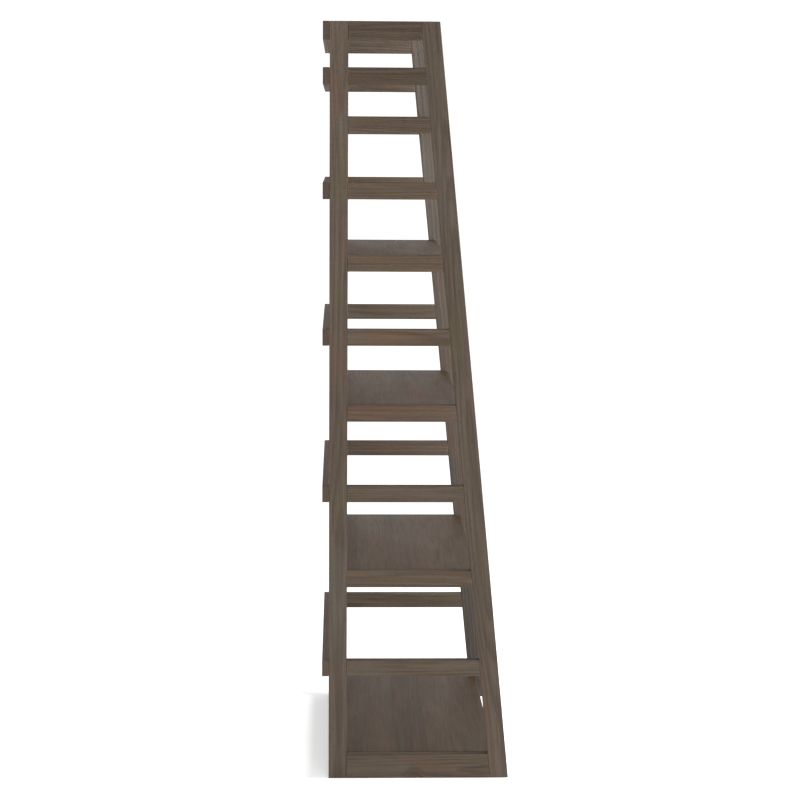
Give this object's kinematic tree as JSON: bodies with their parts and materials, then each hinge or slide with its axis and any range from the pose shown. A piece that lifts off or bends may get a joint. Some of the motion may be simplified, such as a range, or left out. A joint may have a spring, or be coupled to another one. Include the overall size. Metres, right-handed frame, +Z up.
{
  "type": "ladder shelf",
  "caption": "Tall open wooden ladder shelf with upright rear legs, leaning front legs, tiered shelf boards, side guard rails and rear slats.",
  "frame": {"origin": "on the floor, under the centre of the whole shelf's bounding box", "axes": "+Z up, +Y towards the back (the wall side, with the slats), -Y towards the front (the leaning legs), X along the width with the left side frame at -X"},
  "size_m": [0.762, 0.4574, 1.829],
  "materials": {
    "leg_wood": "grey-brown stain under a low-sheen clear coat, grain along the leg",
    "rail_wood": "grey-brown stain under a low-sheen clear coat, grain along the rail",
    "shelf_wood": "grey-brown stain under a low-sheen clear coat, glued-up staves",
    "slat_wood": "grey-brown stain under a low-sheen clear coat, grain along the slat",
    "cleat_wood": "grey-brown stain, unpolished, grain along the cleat",
    "screw_steel": "black zinc, satin"
  },
  "bodies": {
    "root": {"left_rear_leg": "leg_wood", "left_front_leg": "leg_wood", "right_rear_leg": "leg_wood", "right_front_leg": "leg_wood", "left_shelf_rail_1": "rail_wood", "left_guard_rail_1": "rail_wood", "left_shelf_rail_2": "rail_wood", "left_guard_rail_2": "rail_wood", "left_shelf_rail_3": "rail_wood", "left_guard_rail_3": "rail_wood", "left_shelf_rail_4": "rail_wood", "left_guard_rail_4": "rail_wood", "left_shelf_rail_5": "rail_wood", "left_guard_rail_5": "rail_wood", "left_top_rail": "rail_wood", "right_shelf_rail_1": "rail_wood", "right_guard_rail_1": "rail_wood", "right_shelf_rail_2": "rail_wood", "right_guard_rail_2": "rail_wood", "right_shelf_rail_3": "rail_wood", "right_guard_rail_3": "rail_wood", "right_shelf_rail_4": "rail_wood", "right_guard_rail_4": "rail_wood", "right_shelf_rail_5": "rail_wood", "right_guard_rail_5": "rail_wood", "right_top_rail": "rail_wood", "shelf_board_1": "shelf_wood", "left_shelf_cleat_1": "cleat_wood", "right_shelf_cleat_1": "cleat_wood", "shelf_board_2": "shelf_wood", "left_shelf_cleat_2": "cleat_wood", "right_shelf_cleat_2": "cleat_wood", "shelf_board_3": "shelf_wood", "left_shelf_cleat_3": "cleat_wood", "right_shelf_cleat_3": "cleat_wood", "shelf_board_4": "shelf_wood", "left_shelf_cleat_4": "cleat_wood", "right_shelf_cleat_4": "cleat_wood", "shelf_board_5": "shelf_wood", "left_shelf_cleat_5": "cleat_wood", "right_shelf_cleat_5": "cleat_wood", "left_rear_slat_1_screw": "screw_steel", "right_rear_slat_1_screw": "screw_steel", "rear_slat_1": "slat_wood", "left_rear_slat_2_screw": "screw_steel", "right_rear_slat_2_screw": "screw_steel", "rear_slat_2": "slat_wood", "left_rear_slat_3_screw": "screw_steel", "right_rear_slat_3_screw": "screw_steel", "rear_slat_3": "slat_wood", "left_rear_slat_4_screw": "screw_steel", "right_rear_slat_4_screw": "screw_steel", "rear_slat_4": "slat_wood", "left_rear_slat_5_screw": "screw_steel", "right_rear_slat_5_screw": "screw_steel", "rear_slat_5": "slat_wood", "left_rear_slat_top_screw": "screw_steel", "right_rear_slat_top_screw": "screw_steel", "rear_slat_top": "slat_wood"}
  },
  "joints": []
}
